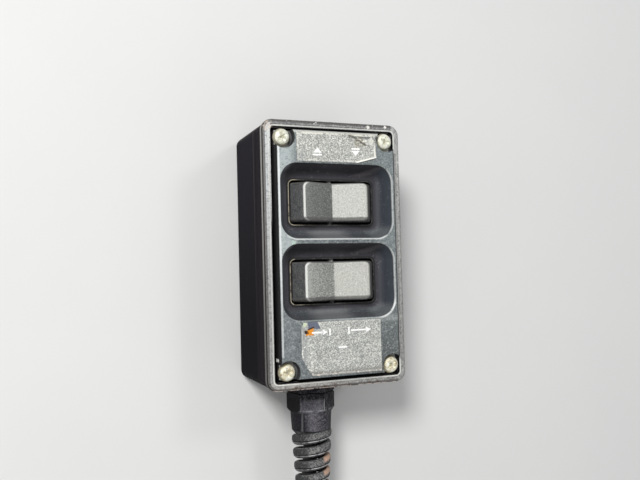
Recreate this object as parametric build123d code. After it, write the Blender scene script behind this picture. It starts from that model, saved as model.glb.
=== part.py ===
from build123d import *
import math
import os

# Hand control pendant with two rocker switches, in millimetres.
# The origin is the centre of the pad on the back, +Z is up and the front faces -Y.
# A depth is measured from the front plane of the rim towards the back.

# Rockers
ROCKER_WIDTH = 40.0
ROCKER_HEIGHT = 17.8
ROCKER_CREST_INSET = 4.4
ROCKER_CREST_DEPTH = -2.3
ROCKER_VALLEY_DEPTH = 3.0
ROCKER_SHOULDER_DEPTH = 4.3
ROCKER_SKIRT = 2.4
ROCKER_KEEL_WIDTH = 9.0
ROCKER_KEEL = 2.6
CREST_ROUNDING = 1.6
VALLEY_ROUNDING = 3.0
ROCKER_BEVEL = 1.2
PIVOT_DEPTH = 7.4
PIVOT_RADIUS = 1.5
PIVOT_CLEARANCE = 0.05

# Switch frames
ROCKER_GAP_X = 0.5
ROCKER_GAP_Z = 1.2
FRAME_WALL = 0.7
FRAME_FLANGE = 0.3
FRAME_FLANGE_THICKNESS = 0.4
FRAME_CORNER = 2.6
FRAME_DEPTH = 12.5
FRAME_FIT = 0.1

# Finger wells
WELL_CORNER = 8.0
WELL_DEPTH = 8.8
WELL_INSET = 2.6
WELL_FLOOR_ROUNDING = 3.8
WELL_FLOOR_MARGIN_X = 0.3
WELL_FLOOR_MARGIN_Z = 0.3
WELL_MOUTH_ROUNDING = 0.5

# Switch plate, with its bands above, between, below and beside the wells
BAND_ABOVE = 14.7
BAND_BETWEEN = 2.2
BAND_BELOW = 25.5
BAND_BESIDE = 1.8
PLATE_PROUD = 4.0
PLATE_BELOW_RIM = 0.3
PLATE_FLANGE = 2.2
PLATE_WALL = 2.2
PLATE_CORNER = 1.2
PLATE_EDGE = 0.4
NOTCH_RADIUS = 5.3
SCREW_PAD_RADIUS = 7.6

# Housing
PLATE_GAP_X = 1.1
PLATE_GAP_Z = 1.5
HOUSING_DEPTH = 46.5
HOUSING_CORNER = 4.6
HOUSING_WALL = 2.8
DRAFT = 0.5
BACK_ROUNDING = 1.8
RIM_WIDTH = 3.7
RIM_LENGTH = 3.2
RIM_PROUD = 0.4
RIM_ROUNDING = 1.1
LEDGE_WIDTH = 2.4
LEDGE_THICKNESS = 2.0
POCKET_CORNER = 1.6
GROOVE_DEPTH = 12.0
GROOVE_SIZE = 0.5

# Pad on the back
PAD_WIDTH = 50.0
PAD_HEIGHT = 92.0
PAD_THICKNESS = 2.5
PAD_CORNER = 3.0

# Lid screws
SCREW_INSET_X = 3.8
SCREW_INSET_Z = 3.2
SCREW_HEAD_RADIUS = 4.0
SCREW_HEAD_HEIGHT = 3.2
SCREW_HEAD_ROUNDING = 2.2
SCREW_RADIUS = 2.0
SCREW_LENGTH = 12.0
SCREW_CLEARANCE = 0.2
RECESS_SPAN = 4.4
RECESS_SLOT = 0.9
RECESS_DEPTH = 1.4
BOSS_RADIUS = 4.0
THREAD_CLEARANCE = 0.05

# Labels
LABEL_THICKNESS = 0.25
LABEL_WIDTH = 38.6
LABEL_TOP_HEIGHT = 12.8
LABEL_BOTTOM_HEIGHT = 23.4
LABEL_MARGIN = 0.9
LABEL_TOP_TEAR = (9.0, 3.0)
LABEL_BOTTOM_TEAR = (3.2, 5.0)

# Cable gland
GLAND_X = -3.5
GLAND_DEPTH = 28.0
GLAND_TURN = 17.0
HEX_ACROSS_FLATS = 20.0
BODY_HEX_LENGTH = 5.4
BODY_THREAD_RADIUS = 8.0
BODY_THREAD_INSIDE = 7.0
BODY_HOLE_CLEARANCE = 0.2
NUT_GAP = 0.4
NUT_HEX_LENGTH = 7.4
NUT_SHOULDER_LENGTH = 1.8
NUT_TOP_RADIUS = 9.9
NUT_END_RADIUS = 9.4
NUT_CORNER_CUT = 0.6
NUT_SKIRT_LENGTH = 8.4
SEAL_RADIUS = 5.6
SEAL_LENGTH = 10.0
SEAL_RECESS = 3.0

# Spiral strain relief
SPIRAL_LENGTH = 40.0
SPIRAL_END_RADIUS = 7.0
SPIRAL_WALL = 2.3
SPIRAL_PITCH = 6.35
SPIRAL_SLOT = 1.5
SPIRAL_LEAD_IN = 1.35
SPIRAL_TURNS = 5.25
SPIRAL_START_ANGLE = 106.0

# Cord: the lead's points are (x, drop below the gland nut's mouth) from the gland's axis,
# and the tail's are (x, height) from the coil's centre
CORD_RADIUS = 3.5
LEAD_POINTS = [(0.0, 58.0), (-42.5, 100.5), (-42.5, 130.5)]
COIL_RADIUS = 39.0
COIL_ROUNDING = 3.0
TAIL_POINTS = [(-36.8, 21.25), (-49.5, -0.75), (-49.5, -27.0)]
TIE_WIDTH_ANGLE = 9.0
TIE_ANGLE = 25.0
TIE_THICKNESS = 1.0

# Connector on the cord's end, from the cord down: radius and length of each step
PLUG_BOOT = [(5.2, 3.0), (6.4, 9.0)]
PLUG_GRIP = (7.4, 14.0)
PLUG_RING = [(6.6, 1.6), (7.4, 5.0)]
PLUG_FLUTES = 10
PLUG_FLUTE_RADIUS = 0.9
PLUG_FLUTE_MARGIN = 1.5

# How far off an edge may lie when it is picked by its place
PICKING = 0.1

# Sizes that follow, from the rocker outwards
FRAME_INNER_WIDTH = ROCKER_WIDTH + 2 * ROCKER_GAP_X
FRAME_INNER_HEIGHT = ROCKER_HEIGHT + 2 * ROCKER_GAP_Z
BODY_WIDTH = FRAME_INNER_WIDTH + 2 * FRAME_WALL
BODY_HEIGHT = FRAME_INNER_HEIGHT + 2 * FRAME_WALL
FLANGE_WIDTH = BODY_WIDTH + 2 * FRAME_FLANGE
FLANGE_HEIGHT = BODY_HEIGHT + 2 * FRAME_FLANGE
WELL_LEAN = math.atan(WELL_INSET / WELL_DEPTH)
WELL_WALL_SPAN = WELL_INSET + WELL_FLOOR_ROUNDING * math.tan(math.pi / 4 - WELL_LEAN / 2)
WELL_WIDTH = FLANGE_WIDTH + 2 * (WELL_FLOOR_MARGIN_X + WELL_WALL_SPAN)
WELL_HEIGHT = FLANGE_HEIGHT + 2 * (WELL_FLOOR_MARGIN_Z + WELL_WALL_SPAN)
PLATE_WIDTH = WELL_WIDTH + 2 * BAND_BESIDE
PLATE_HEIGHT = BAND_ABOVE + BAND_BETWEEN + BAND_BELOW + 2 * WELL_HEIGHT
POCKET_WIDTH = PLATE_WIDTH + 2 * PLATE_GAP_X
POCKET_HEIGHT = PLATE_HEIGHT + 2 * PLATE_GAP_Z
RIM_OUTER_WIDTH = POCKET_WIDTH + 2 * RIM_WIDTH
RIM_OUTER_HEIGHT = POCKET_HEIGHT + 2 * RIM_WIDTH
HOUSING_WIDTH = RIM_OUTER_WIDTH - 2 * RIM_PROUD
HOUSING_HEIGHT = RIM_OUTER_HEIGHT - 2 * RIM_PROUD

# Places that follow
Y_FRONT = -(HOUSING_DEPTH + PAD_THICKNESS)
PLATE_SEAT = PLATE_BELOW_RIM + PLATE_FLANGE
WELL_FLOOR = WELL_DEPTH - PLATE_PROUD
UPPER_WELL_TOP = PLATE_HEIGHT / 2 - BAND_ABOVE
LOWER_WELL_BOTTOM = BAND_BELOW - PLATE_HEIGHT / 2
WELL_CENTRES = {"upper": UPPER_WELL_TOP - WELL_HEIGHT / 2, "lower": LOWER_WELL_BOTTOM + WELL_HEIGHT / 2}
SCREW_X = PLATE_WIDTH / 2 - SCREW_INSET_X
SCREW_Z = PLATE_HEIGHT / 2 - SCREW_INSET_Z
SCREW_PLACES = [(side * SCREW_X, level * SCREW_Z) for level in (1, -1) for side in (-1, 1)]
HOUSING_BOTTOM = -HOUSING_HEIGHT / 2
GLAND_Y = Y_FRONT + GLAND_DEPTH
BODY_HEX_END = HOUSING_BOTTOM - BODY_HEX_LENGTH
NUT_TOP = BODY_HEX_END - NUT_GAP
NUT_HEX_END = NUT_TOP - NUT_HEX_LENGTH
NUT_SKIRT_TOP = NUT_HEX_END - NUT_SHOULDER_LENGTH
NUT_MOUTH = NUT_SKIRT_TOP - NUT_SKIRT_LENGTH
SEAL_TOP = NUT_TOP - SEAL_RECESS
CORD_DIAMETER = 2 * CORD_RADIUS
COIL_CENTRE = (GLAND_X + LEAD_POINTS[-1][0] + COIL_RADIUS + CORD_RADIUS,
               GLAND_Y - CORD_DIAMETER, NUT_MOUTH - LEAD_POINTS[-1][1])


def front(depth, x=0.0, z=0.0):
    """Sketch plane facing the front, at a depth behind the rim's front plane."""
    return Plane(origin=(x, Y_FRONT + depth, z), x_dir=(1, 0, 0), z_dir=(0, -1, 0))


def slab(width, height, radius, near, far, x=0.0, z=0.0):
    """Rounded rectangular block between two depths."""
    return extrude(front(near, x, z) * RectangleRounded(width, height, radius), amount=near - far)


def tapered_slab(width, height, radius, near, far, inset, x=0.0, z=0.0):
    """Rounded rectangular block that is smaller by the inset at its far end."""
    near_face = front(near, x, z) * RectangleRounded(width, height, radius)
    far_face = front(far, x, z) * RectangleRounded(width - 2 * inset, height - 2 * inset, radius - inset)
    return loft([near_face, far_face], ruled=True)


def rod(radius, near, far, x=0.0, z=0.0):
    """Round bar from front to back between two depths."""
    return extrude(front(near, x, z) * Circle(radius), amount=near - far)


def down(z, x=GLAND_X, y=GLAND_Y):
    """Sketch plane facing down, on the gland's axis."""
    return Plane(origin=(x, y, z), x_dir=(1, 0, 0), z_dir=(0, 0, -1))


def turned(points):
    """Solid of revolution about the gland's axis, from (radius, height) points."""
    section = make_face(Polyline(*[(GLAND_X + r, GLAND_Y, z) for r, z in points], close=True))
    return revolve(section, Axis((GLAND_X, GLAND_Y, 0), (0, 0, 1)))


def make_housing():
    shell = tapered_slab(HOUSING_WIDTH, HOUSING_HEIGHT, HOUSING_CORNER, RIM_LENGTH / 2, HOUSING_DEPTH, DRAFT)
    shell = fillet(shell.faces().sort_by(Axis.Y)[-1].edges(), BACK_ROUNDING)
    rim = slab(RIM_OUTER_WIDTH, RIM_OUTER_HEIGHT, HOUSING_CORNER + RIM_PROUD, 0, RIM_LENGTH)
    rim = fillet(rim.faces().sort_by(Axis.Y)[0].edges(), RIM_ROUNDING)
    groove_face = front(GROOVE_DEPTH) * (
        RectangleRounded(RIM_OUTER_WIDTH, RIM_OUTER_HEIGHT, HOUSING_CORNER)
        - RectangleRounded(HOUSING_WIDTH - 2 * GROOVE_SIZE, HOUSING_HEIGHT - 2 * GROOVE_SIZE,
                           HOUSING_CORNER - GROOVE_SIZE / 2))
    housing = shell + rim - extrude(groove_face, amount=-GROOVE_SIZE)
    inner_width = HOUSING_WIDTH - 2 * (HOUSING_WALL + DRAFT)
    inner_height = HOUSING_HEIGHT - 2 * (HOUSING_WALL + DRAFT)
    ledge_width = POCKET_WIDTH - 2 * LEDGE_WIDTH
    ledge_height = POCKET_HEIGHT - 2 * LEDGE_WIDTH
    housing -= slab(POCKET_WIDTH, POCKET_HEIGHT, POCKET_CORNER, 0, PLATE_SEAT)
    housing -= slab(ledge_width, ledge_height, POCKET_CORNER, PLATE_SEAT, PLATE_SEAT + LEDGE_THICKNESS)
    housing -= slab(inner_width, inner_height, POCKET_CORNER, PLATE_SEAT + LEDGE_THICKNESS,
                    HOUSING_DEPTH - HOUSING_WALL)
    for x, z in SCREW_PLACES:
        housing += rod(BOSS_RADIUS, PLATE_SEAT, HOUSING_DEPTH - HOUSING_WALL, x, z)
    for x, z in SCREW_PLACES:
        housing -= rod(SCREW_RADIUS + THREAD_CLEARANCE, PLATE_SEAT,
                       PLATE_BELOW_RIM + SCREW_LENGTH + SCREW_RADIUS, x, z)
    hole = extrude(down(HOUSING_BOTTOM + 2 * HOUSING_WALL) * Circle(BODY_THREAD_RADIUS + BODY_HOLE_CLEARANCE),
                   amount=4 * HOUSING_WALL)
    return housing - hole


def well_cutter(z):
    """Space of one finger well: steep walls that round into a flat floor."""
    well = tapered_slab(WELL_WIDTH, WELL_HEIGHT, WELL_CORNER, -PLATE_PROUD, WELL_FLOOR, WELL_INSET, 0, z)
    return fillet(well.faces().sort_by(Axis.Y)[-1].edges(), WELL_FLOOR_ROUNDING)


def make_switch_plate():
    plate = slab(PLATE_WIDTH, PLATE_HEIGHT, PLATE_CORNER, -PLATE_PROUD, PLATE_SEAT)
    plate = chamfer(plate.faces().sort_by(Axis.Y)[0].edges(), PLATE_EDGE)
    core = slab(PLATE_WIDTH - 2 * PLATE_WALL, PLATE_HEIGHT - 2 * PLATE_WALL, PLATE_CORNER,
                PLATE_WALL - PLATE_PROUD, PLATE_SEAT)
    for x, z in SCREW_PLACES:
        core -= rod(SCREW_PAD_RADIUS, -PLATE_PROUD, PLATE_SEAT, x, z)
    plate -= core
    for z in WELL_CENTRES.values():
        plate += slab(WELL_WIDTH, WELL_HEIGHT, WELL_CORNER, -PLATE_PROUD + PLATE_WALL,
                      WELL_FLOOR + PLATE_WALL, 0, z)
    for z in WELL_CENTRES.values():
        plate -= well_cutter(z)
    mouth = plate.faces().sort_by(Axis.Y)[0].inner_wires()
    plate = fillet([edge for wire in mouth for edge in wire.edges()], WELL_MOUTH_ROUNDING)
    for z in WELL_CENTRES.values():
        plate -= slab(BODY_WIDTH + 2 * FRAME_FIT, BODY_HEIGHT + 2 * FRAME_FIT, FRAME_CORNER,
                      WELL_FLOOR - 1, WELL_FLOOR + PLATE_WALL, 0, z)
    for x, z in SCREW_PLACES:
        plate -= rod(NOTCH_RADIUS, -PLATE_PROUD, PLATE_BELOW_RIM, x, z)
        plate -= rod(SCREW_RADIUS + SCREW_CLEARANCE, PLATE_BELOW_RIM, PLATE_SEAT, x, z)
    return plate


def make_screw(x, z):
    head_top = PLATE_BELOW_RIM - SCREW_HEAD_HEIGHT
    head = rod(SCREW_HEAD_RADIUS, head_top, PLATE_BELOW_RIM, x, z)
    head = fillet(head.faces().sort_by(Axis.Y)[0].edges(), SCREW_HEAD_ROUNDING)
    screw = head + rod(SCREW_RADIUS, PLATE_BELOW_RIM, PLATE_BELOW_RIM + SCREW_LENGTH, x, z)
    for turn in (0, 90):
        slot = front(head_top, x, z) * Rot(0, 0, 45 + turn) * Rectangle(RECESS_SPAN, RECESS_SLOT)
        screw -= extrude(slot, amount=-RECESS_DEPTH)
    return screw


def make_frame(z):
    flange_top = WELL_FLOOR - FRAME_FLANGE_THICKNESS
    frame = slab(BODY_WIDTH, BODY_HEIGHT, FRAME_CORNER, flange_top, WELL_FLOOR + FRAME_DEPTH, 0, z)
    frame += slab(FLANGE_WIDTH, FLANGE_HEIGHT, FRAME_CORNER + FRAME_FLANGE, flange_top, WELL_FLOOR, 0, z)
    frame -= slab(FRAME_INNER_WIDTH, FRAME_INNER_HEIGHT, FRAME_CORNER - FRAME_WALL / 2, flange_top,
                  WELL_FLOOR + FRAME_DEPTH - 2 * FRAME_WALL, 0, z)
    pin_plane = Plane(origin=(0, Y_FRONT + PIVOT_DEPTH, z), z_dir=(0, 0, 1))
    pivot = extrude(pin_plane * Circle(PIVOT_RADIUS + PIVOT_CLEARANCE), amount=BODY_HEIGHT, both=True)
    return frame - pivot


def make_rocker(z):
    """Concave paddle with raised ends, tilting about an upright pin."""
    half = ROCKER_WIDTH / 2
    crest = half - ROCKER_CREST_INSET
    skirt = ROCKER_SHOULDER_DEPTH + ROCKER_SKIRT
    outline = [(half, skirt), (half, ROCKER_SHOULDER_DEPTH), (crest, ROCKER_CREST_DEPTH),
               (0, ROCKER_VALLEY_DEPTH), (-crest, ROCKER_CREST_DEPTH),
               (-half, ROCKER_SHOULDER_DEPTH), (-half, skirt),
               (-ROCKER_KEEL_WIDTH / 2, skirt + ROCKER_KEEL), (ROCKER_KEEL_WIDTH / 2, skirt + ROCKER_KEEL)]
    level = Plane(origin=(0, Y_FRONT, z - ROCKER_HEIGHT / 2), z_dir=(0, 0, 1))
    rocker = extrude(level * make_face(Polyline(*outline, close=True)), amount=ROCKER_HEIGHT)
    upright = rocker.edges().filter_by(Axis.Z).sort_by(Axis.Y)
    rocker = fillet(upright[0:2], CREST_ROUNDING)
    valley = rocker.edges().filter_by(Axis.Z).filter_by(
        lambda edge: abs(edge.center().X) < PICKING and edge.center().Y < Y_FRONT + PIVOT_DEPTH)
    rocker = fillet(valley, VALLEY_ROUNDING)
    long_edges = rocker.edges().filter_by(
        lambda edge: abs(abs(edge.center().Z - z) - ROCKER_HEIGHT / 2) < PICKING
        and edge.center().Y < Y_FRONT + ROCKER_SHOULDER_DEPTH - PICKING)
    rocker = chamfer(long_edges, ROCKER_BEVEL)
    pin_plane = Plane(origin=(0, Y_FRONT + PIVOT_DEPTH, z), z_dir=(0, 0, 1))
    return rocker + extrude(pin_plane * Circle(PIVOT_RADIUS), amount=BODY_HEIGHT / 2, both=True)


def make_label(height, middle, tear, tear_side):
    """Thin label on the raised face, with one lower corner torn off."""
    half, low, high = LABEL_WIDTH / 2, middle - height / 2, middle + height / 2
    across, up = tear
    s = tear_side
    outline = [(s * half, high), (s * half, low + up), (s * (half - across), low), (-s * half, low),
               (-s * half, high)]
    face = front(-PLATE_PROUD) * make_face(Polyline(*outline, close=True))
    return extrude(face, amount=LABEL_THICKNESS)


def make_pad():
    return slab(PAD_WIDTH, PAD_HEIGHT, PAD_CORNER, HOUSING_DEPTH, HOUSING_DEPTH + PAD_THICKNESS)


def hexagon():
    return RegularPolygon(HEX_ACROSS_FLATS / 2, 6, major_radius=False, rotation=GLAND_TURN)


def make_gland_body():
    body = extrude(down(HOUSING_BOTTOM) * hexagon(), amount=BODY_HEX_LENGTH)
    thread_top = HOUSING_BOTTOM + HOUSING_WALL + DRAFT + BODY_THREAD_INSIDE
    body += turned([(0, thread_top), (BODY_THREAD_RADIUS, thread_top), (BODY_THREAD_RADIUS, HOUSING_BOTTOM),
                    (0, HOUSING_BOTTOM)])
    bore = turned([(0, thread_top), (SEAL_RADIUS, thread_top), (SEAL_RADIUS, BODY_HEX_END), (0, BODY_HEX_END)])
    return body - bore


def make_gland_nut():
    corner = HEX_ACROSS_FLATS / math.sqrt(3)
    nut = extrude(down(NUT_TOP) * hexagon(), amount=NUT_HEX_LENGTH + NUT_SHOULDER_LENGTH)
    nut &= turned([(0, NUT_TOP), (corner - NUT_CORNER_CUT, NUT_TOP), (corner, NUT_TOP - NUT_CORNER_CUT),
                   (corner, NUT_HEX_END), (NUT_TOP_RADIUS, NUT_SKIRT_TOP), (0, NUT_SKIRT_TOP)])
    nut += turned([(0, NUT_SKIRT_TOP), (NUT_TOP_RADIUS, NUT_SKIRT_TOP), (NUT_END_RADIUS, NUT_MOUTH),
                   (0, NUT_MOUTH)])
    mouth_radius = NUT_END_RADIUS - SPIRAL_WALL
    seal_end = SEAL_TOP - SEAL_LENGTH
    bore = turned([(0, NUT_TOP), (SEAL_RADIUS, NUT_TOP), (SEAL_RADIUS, seal_end), (mouth_radius, NUT_MOUTH),
                   (0, NUT_MOUTH)])
    return nut - bore


def make_gland_seal():
    return turned([(CORD_RADIUS, SEAL_TOP), (SEAL_RADIUS, SEAL_TOP), (SEAL_RADIUS, SEAL_TOP - SEAL_LENGTH),
                   (CORD_RADIUS, SEAL_TOP - SEAL_LENGTH)])


def make_gland_spiral():
    """Tapered sleeve with one long helical slot, so that it bends."""
    end = NUT_MOUTH - SPIRAL_LENGTH
    sleeve = turned([(NUT_END_RADIUS - SPIRAL_WALL, NUT_MOUTH), (NUT_END_RADIUS, NUT_MOUTH),
                     (SPIRAL_END_RADIUS, end), (SPIRAL_END_RADIUS - SPIRAL_WALL, end)])
    slot_top = NUT_MOUTH - SPIRAL_LEAD_IN
    slot_height = SPIRAL_TURNS * SPIRAL_PITCH
    slot_radius = (NUT_END_RADIUS + SPIRAL_END_RADIUS - SPIRAL_WALL) / 2
    path = Helix(pitch=SPIRAL_PITCH, height=slot_height, radius=slot_radius)
    section = Plane(origin=path @ 0, x_dir=(1, 0, 0), z_dir=path % 0) * Rectangle(4 * SPIRAL_WALL, SPIRAL_SLOT)
    slot = sweep(section, path=path, is_frenet=True)
    place = Pos(GLAND_X, GLAND_Y, slot_top - slot_height) * Rot(0, 0, SPIRAL_START_ANGLE)
    return sleeve - place * slot


def lead_route():
    """Points of the hanging lead, from the seal down to the coil's side."""
    route = [(GLAND_X, GLAND_Y, SEAL_TOP)]
    route += [(GLAND_X + x, GLAND_Y, NUT_MOUTH - drop) for x, drop in LEAD_POINTS]
    return [Vector(*point) for point in route]


def tail_route():
    """Points of the tail, from the coil's upper side down to the connector."""
    cx, cy, cz = COIL_CENTRE
    return [Vector(cx + x, cy, cz + height) for x, height in TAIL_POINTS]


def bend_radii(points):
    """Radius of the arc at each corner of a route, as large as its runs allow."""
    radii = []
    for before, corner, after in zip(points, points[1:], points[2:]):
        turn = math.radians((corner - before).get_angle(after - corner))
        radii.append(0.45 * min((corner - before).length, (after - corner).length) / math.tan(turn / 2))
    return radii


def make_tube(name, points):
    """Cord along a route of straight runs joined by arcs."""
    radii = bend_radii(points)
    path = FilletPolyline(*points, radius=radii)
    tube = sweep(Plane(origin=path @ 0, z_dir=path % 0) * Circle(CORD_RADIUS), path=path)
    print(name, "radii", [round(radius, 1) for radius in radii], "length", round(path.length, 1),
          "volume ratio", round(tube.volume / (math.pi * CORD_RADIUS ** 2 * path.length), 4))
    return tube


def coil_section(margin=0.0):
    """Section of the wound bundle: two turns across and three deep."""
    width = 2 * CORD_DIAMETER + 2 * margin
    depth = 3 * CORD_DIAMETER + 2 * margin
    x, y, z = COIL_CENTRE
    plane = Plane(origin=(x - COIL_RADIUS, y, z), x_dir=(1, 0, 0), z_dir=(0, 0, 1))
    return plane * RectangleRounded(width, depth, COIL_ROUNDING + margin)


def make_cord_coil():
    return revolve(coil_section(), Axis(COIL_CENTRE, (0, 1, 0)))


def make_cord_tie():
    ring = coil_section(TIE_THICKNESS) - coil_section()
    band = revolve(ring, Axis(COIL_CENTRE, (0, 1, 0)), revolution_arc=TIE_WIDTH_ANGLE)
    return Pos(*COIL_CENTRE) * Rot(0, -TIE_ANGLE, 0) * Pos(*[-value for value in COIL_CENTRE]) * band


def plug_plane(drop):
    """Sketch plane facing down, at a drop below the tail's end."""
    end = tail_route()[-1]
    return down(end.Z - drop, end.X, end.Y)


def make_plug():
    """Round in-line connector that hangs on the tail, with a fluted grip."""
    drop = 0.0
    steps = []
    for radius, length in PLUG_BOOT + [PLUG_GRIP] + PLUG_RING:
        steps.append(extrude(plug_plane(drop) * Circle(radius), amount=length))
        drop += length
    plug = steps[0] + steps[1:]
    grip_radius, grip_length = PLUG_GRIP
    flute_top = sum(length for radius, length in PLUG_BOOT) + PLUG_FLUTE_MARGIN
    for turn in range(PLUG_FLUTES):
        spot = Rot(0, 0, 360 * turn / PLUG_FLUTES) * Pos(grip_radius, 0) * Circle(PLUG_FLUTE_RADIUS)
        plug -= extrude(plug_plane(flute_top) * spot, amount=grip_length - 2 * PLUG_FLUTE_MARGIN)
    return plug


def write(name, shape):
    solids = shape.solids()
    if len(solids) != 1:
        print("solids in", name, len(solids))
    shape.label = name
    export_step(shape, "parts/" + name + ".step")


def main():
    os.makedirs("parts", exist_ok=True)
    write("housing", make_housing())
    write("switch_plate", make_switch_plate())
    for number, (x, z) in enumerate(SCREW_PLACES, start=1):
        write("lid_screw_%d" % number, make_screw(x, z))
    for name, z in WELL_CENTRES.items():
        write("switch_frame_" + name, make_frame(z))
        write("rocker_" + name, make_rocker(z))
    upper_middle = UPPER_WELL_TOP + LABEL_MARGIN + LABEL_TOP_HEIGHT / 2
    lower_middle = LOWER_WELL_BOTTOM - LABEL_MARGIN - LABEL_BOTTOM_HEIGHT / 2
    write("label_upper", make_label(LABEL_TOP_HEIGHT, upper_middle, LABEL_TOP_TEAR, 1))
    write("label_lower", make_label(LABEL_BOTTOM_HEIGHT, lower_middle, LABEL_BOTTOM_TEAR, -1))
    write("back_pad", make_pad())
    write("gland_body", make_gland_body())
    write("gland_nut", make_gland_nut())
    write("gland_seal", make_gland_seal())
    write("gland_spiral", make_gland_spiral())
    write("cord_lead", make_tube("cord_lead", lead_route()))
    write("cord_coil", make_cord_coil())
    write("cord_tie", make_cord_tie())
    write("cord_tail", make_tube("cord_tail", tail_route()))
    write("plug", make_plug())


main()
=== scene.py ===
import random
from math import atan2, cos, dist, exp, hypot, pi, radians, sin, sqrt, tan, tau

import bmesh
import bpy
from mathutils import Matrix, Vector


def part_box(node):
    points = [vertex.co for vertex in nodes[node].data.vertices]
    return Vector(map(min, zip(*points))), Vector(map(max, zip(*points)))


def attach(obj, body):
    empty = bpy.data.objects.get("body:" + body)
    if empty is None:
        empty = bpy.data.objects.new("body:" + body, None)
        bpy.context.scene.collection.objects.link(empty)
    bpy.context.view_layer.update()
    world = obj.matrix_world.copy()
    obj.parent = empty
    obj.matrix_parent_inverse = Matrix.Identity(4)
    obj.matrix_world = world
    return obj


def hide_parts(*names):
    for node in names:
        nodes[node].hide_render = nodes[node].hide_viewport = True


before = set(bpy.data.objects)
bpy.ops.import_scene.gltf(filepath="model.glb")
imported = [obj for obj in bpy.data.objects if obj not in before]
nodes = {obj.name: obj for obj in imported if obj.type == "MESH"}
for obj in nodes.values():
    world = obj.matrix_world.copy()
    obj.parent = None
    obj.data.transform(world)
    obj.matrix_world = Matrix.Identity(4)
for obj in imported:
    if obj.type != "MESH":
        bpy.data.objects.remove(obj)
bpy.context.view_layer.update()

# Sizes are in millimetres, as in the part, and are turned into metres where a mesh or a light is made
MM = 0.001
BODY = "pendant"

# Camera, as a position, a viewing direction and the picture's own right-hand direction
CAMERA_PLACE = (-128.9, -348.7, -8.9)
CAMERA_FORWARD = (0.3745, 0.9261, 0.0462)
CAMERA_RIGHT = (0.9272, -0.3736, -0.0264)
SENSOR_WIDTH = 36
FOCAL_LENGTH = 40.5

# Lamps, as a name, a direction from the box's front, a distance, a width and a power
BOX_FRONT = (0, -40, 0)
LAMPS = [("key", (-0.5, -0.8, 0.42), 1100, 300, 9.5),
         ("sun_side", (0.45, -0.8, 0.4), 1100, 240, 1.4),
         ("fill_under", (-0.1, -0.8, -0.55), 1300, 600, 1)]
AMBIENT_STRENGTH = 0.32

# Stage
STAGE_REACH = 3000
FLOOR_Z = -290
WALL_Y = 0.4

# Front of the box. y grows towards the back, and halves are (x, z) half sizes
RIM_FRONT = -49
RIM_HALF = (33.84, 60.08)
RIM_CORNER = 5
RIM_WIDTH = 3.7
RIM_DEPTH = 3.2
RIM_INNER_CORNER = 1.4
PLATE_FRONT = -53
WELL_HALF = (27.24, 16.84)
WELL_CORNER = 8
WELL_CENTRES = (23.34, -12.54)
SCREW_PLACE = (25.24, 51.68)
NOTCH_HALF = 5.3

# Switches
FRAME_FRONT = -44.6
FRAME_HALF = (20.5, 10.1)
FRAME_CORNER = 2.2
CREST = 15.6
ROCKER_HALF_HEIGHT = 8.9
ROCKER_ROUNDING = 1.3
PADDLE_CORNER = 2.6
PADDLE_LEVELS = [0, 3, 5.5, 6.3, 6.7, 7.1, 7.45, 7.75, 8, 8.2, 8.38, 8.54, 8.68, 8.79, 8.87, 8.9]
PIN_Y = -41.6
# Painted light: each rocker's left and right finger-face tones, the right painted lighter as lit, the left darker as
# shaded
ROCKER_TONES = {"upper": (0x6C6E6B, 0xBFC0B9), "lower": (0x92948F, 0xB9B9B2)}

# Screws, with the degrees that each was left turned by, and (radius, drop) pairs from the top of a head
SCREW_TURNS = {"lid_screw_1": 28, "lid_screw_2": 66, "lid_screw_3": 8, "lid_screw_4": 41}
HEAD_FRONT = -51.9
HEAD_BASE = -48.7
HEAD_PROFILE = [(0, 0), (0.5, 0), (1, 0.01), (1.5, 0.05), (1.9, 0.11), (2.3, 0.22), (2.7, 0.4), (3.05, 0.63),
                (3.35, 0.92), (3.6, 1.3), (3.8, 1.75), (3.93, 2.25), (3.97, 2.8), (3.85, 3.2)]
SHANK_RADIUS = 1.9
RECESS_REACH = 2.25

# Labels, with the heights of their lower and upper ends
LABEL_THICKNESS = 0.2
LABEL_HALF = 19.3
UPPER_LABEL = (40.9, 54)
LOWER_LABEL = (-53.68, -30.28)

# Cable gland, which hangs under the box
GLAND_X = -3.5
GLAND_Y = -21
GLAND = (GLAND_X, GLAND_Y)
HEX_CORNER_RADIUS = 11.55
HEX_END = -73.4
SPIRAL_TOP = -83.08
SPIRAL_LENGTH = 40
SPIRAL_TOP_RADIUS = 9.4
SPIRAL_END_RADIUS = 7
SPIRAL_WALL = 2.3
SPIRAL_SWELL = 0.4
SPIRAL_PITCH = 6.35
SPIRAL_SLOT = 1.5
SPIRAL_LEAD_IN = 1.35
SPIRAL_TURNS = 5.25
SPIRAL_START = 196
LIP_HEIGHT = 1.75

# Cord, with the route's points as the part's own source has them
CORD_RADIUS = 3.5
LEAD_POINTS = [(0, 58), (-42.5, 100.5), (-42.5, 130.5)]
TAIL_POINTS = [(-49.5, -0.75), (-49.5, -27)]
COIL_RADIUS = 39
POINTS_PER_TURN = 16
TIE_TURNS = 1.28
TIE_HALF_WIDTH = 3

rng = random.Random(7)


def add_object(name, data):
    thing = bpy.data.objects.new(name, data)
    bpy.context.collection.objects.link(thing)
    return thing


def box_mm(node):
    """The lower and upper corner and the middle of a node's box, in millimetres."""
    low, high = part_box(node)
    return low / MM, high / MM, (low + high) / 2 / MM


def add_camera():
    forward = Vector(CAMERA_FORWARD).normalized()
    right = Vector(CAMERA_RIGHT)
    right = (right - right.dot(forward) * forward).normalized()
    turn = Matrix((right, right.cross(forward), -forward)).transposed()
    data = bpy.data.cameras.new("camera")
    data.sensor_width = SENSOR_WIDTH
    data.lens = FOCAL_LENGTH
    camera = add_object("camera", data)
    camera.matrix_world = Matrix.Translation(Vector(CAMERA_PLACE) * MM) @ turn.to_4x4()
    bpy.context.scene.camera = camera


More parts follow.
